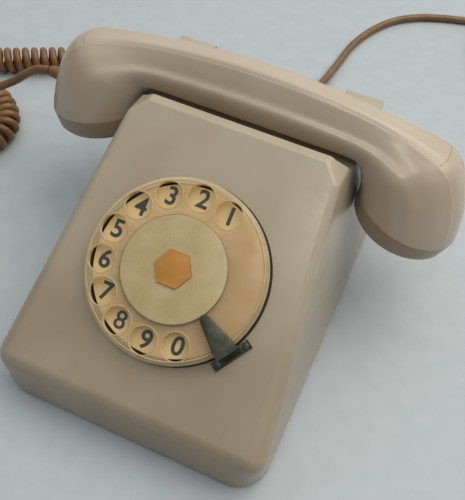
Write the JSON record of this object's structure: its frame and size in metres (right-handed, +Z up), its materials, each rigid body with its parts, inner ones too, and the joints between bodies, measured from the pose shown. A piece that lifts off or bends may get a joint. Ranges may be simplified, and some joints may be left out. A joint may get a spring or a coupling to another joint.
{
  "type": "rotary dial telephone",
  "caption": "Desk telephone with a sloping housing, a clear finger dial, a handset lying in a cradle across the top and two cords.",
  "frame": {"origin": "on the table under the middle of the housing, measured without the cords", "axes": "+Z up from the table, the dial faces -Y and slopes up to the back, the handset lies along X with its earpiece on -X"},
  "size_m": [0.4552, 0.423, 0.1136],
  "materials": {
    "housing_plastic": "glossy, aged",
    "handset_plastic": "glossy, aged",
    "cap_plastic": "glossy, aged",
    "amber_plastic": "clear, yellowed",
    "hub_plastic": "glossy, amber",
    "plate_plastic": "satin",
    "card": "paper, matt",
    "disc_plastic": "glossy, yellowed",
    "dark_plastic": "satin",
    "board_resin": "satin",
    "cord_vinyl": "satin",
    "line_vinyl": "satin",
    "foot_rubber": "matt",
    "stop_steel": "worn",
    "steel": "satin",
    "brass": "satin",
    "copper_wire": "varnished"
  },
  "bodies": {
    "telephone": {"base_plate": "steel", "rubber_feet": "foot_rubber", "housing": "housing_plastic", "housing_screws": "steel", "dial_case": "dark_plastic", "number_plate": "plate_plastic", "finger_stop": "stop_steel", "finger_stop_screws": "stop_steel", "dial_frame": "steel", "dial_frame_screws": "steel", "governor_cup": "steel", "return_spring": "steel", "pulse_contacts": "brass", "ringer_frame": "steel", "ringer_coils": "copper_wire", "gong_left": "brass", "gong_right": "brass", "gong_screws": "steel", "circuit_board": "board_resin", "board_standoffs": "dark_plastic", "transformer": "dark_plastic", "capacitor": "dark_plastic", "resistors": "dark_plastic", "terminal_block": "dark_plastic", "terminal_screws": "brass", "hook_bracket": "steel", "hook_pin": "steel", "hook_contacts": "brass", "line_gland": "line_vinyl", "handset_cord_gland": "cord_vinyl", "line_cord": "line_vinyl", "line_cord_coil": "line_vinyl", "line_cord_end": "line_vinyl", "line_plug": "line_vinyl", "handset_cord_tail": "cord_vinyl", "handset_cord_curl": "cord_vinyl", "handset_cord_lead": "cord_vinyl"},
    "dial": {"finger_wheel": "amber_plastic", "label_card": "card", "label_cover": "disc_plastic", "hub_cap": "hub_plastic", "hub_screw": "steel", "dial_shaft": "steel", "main_gear": "brass", "pulse_cam": "dark_plastic"},
    "worm_wheel": {"worm_wheel_shaft": "brass"},
    "governor": {"governor_shaft": "steel", "governor_weights": "brass"},
    "handset": {"handset_body": "handset_plastic", "handset_cover": "handset_plastic", "ear_cap": "cap_plastic", "mouth_cap": "cap_plastic", "ear_capsule": "steel", "mouth_capsule": "steel", "handset_gland": "cord_vinyl"},
    "plungers": {"hook_plungers": "dark_plastic", "hook_bar": "dark_plastic"},
    "lever": {"hook_lever": "steel"},
    "clapper": {"clapper": "steel"}
  },
  "joints": [
    {"name": "handset_lift", "type": "slide", "parent": "telephone", "child": "handset", "axis": [0, 0, 1], "range_m": [0, 0.12]},
    {"name": "hook_rise", "type": "slide", "parent": "telephone", "child": "plungers", "axis": [0, 0, 1], "range_m": [0, 0.006]},
    {"name": "hook_lever_turn", "type": "hinge", "parent": "telephone", "child": "lever", "pos_m": [0, 0.03707, 0.0582], "axis": [1, 0, 0], "range_deg": [0, 20]},
    {"name": "dial_turn", "type": "hinge", "parent": "telephone", "child": "dial", "pos_m": [0, -0.03641, 0.06462], "axis": [0, 0.4973, -0.8676], "range_deg": [0, 304], "stiffness_Nm_per_rad": 0.01, "springref_deg": -34.38},
    {"name": "worm_wheel_turn", "type": "hinge", "parent": "telephone", "child": "worm_wheel", "pos_m": [0, -0.05031, 0.0374], "axis": [0, 0.4973, -0.8676], "range_deg": [-1530, 10]},
    {"name": "governor_spin", "type": "hinge", "parent": "telephone", "child": "governor", "pos_m": [0, -0.05899, 0.03243], "axis": [1, 0, 0], "range_deg": [-15300, 10]},
    {"name": "clapper_swing", "type": "hinge", "parent": "telephone", "child": "clapper", "pos_m": [0, 0.0525, 0.03], "axis": [0, 0, 1], "range_deg": [-9, 9], "stiffness_Nm_per_rad": 0.002}
  ],
  "couplings": [
    {"joint": "hook_rise", "follows": "handset_lift", "ratio": 0.05},
    {"joint": "hook_lever_turn", "follows": "handset_lift", "rad_per_m": 2.8},
    {"joint": "worm_wheel_turn", "follows": "dial_turn", "ratio": -5},
    {"joint": "governor_spin", "follows": "dial_turn", "ratio": -50}
  ]
}
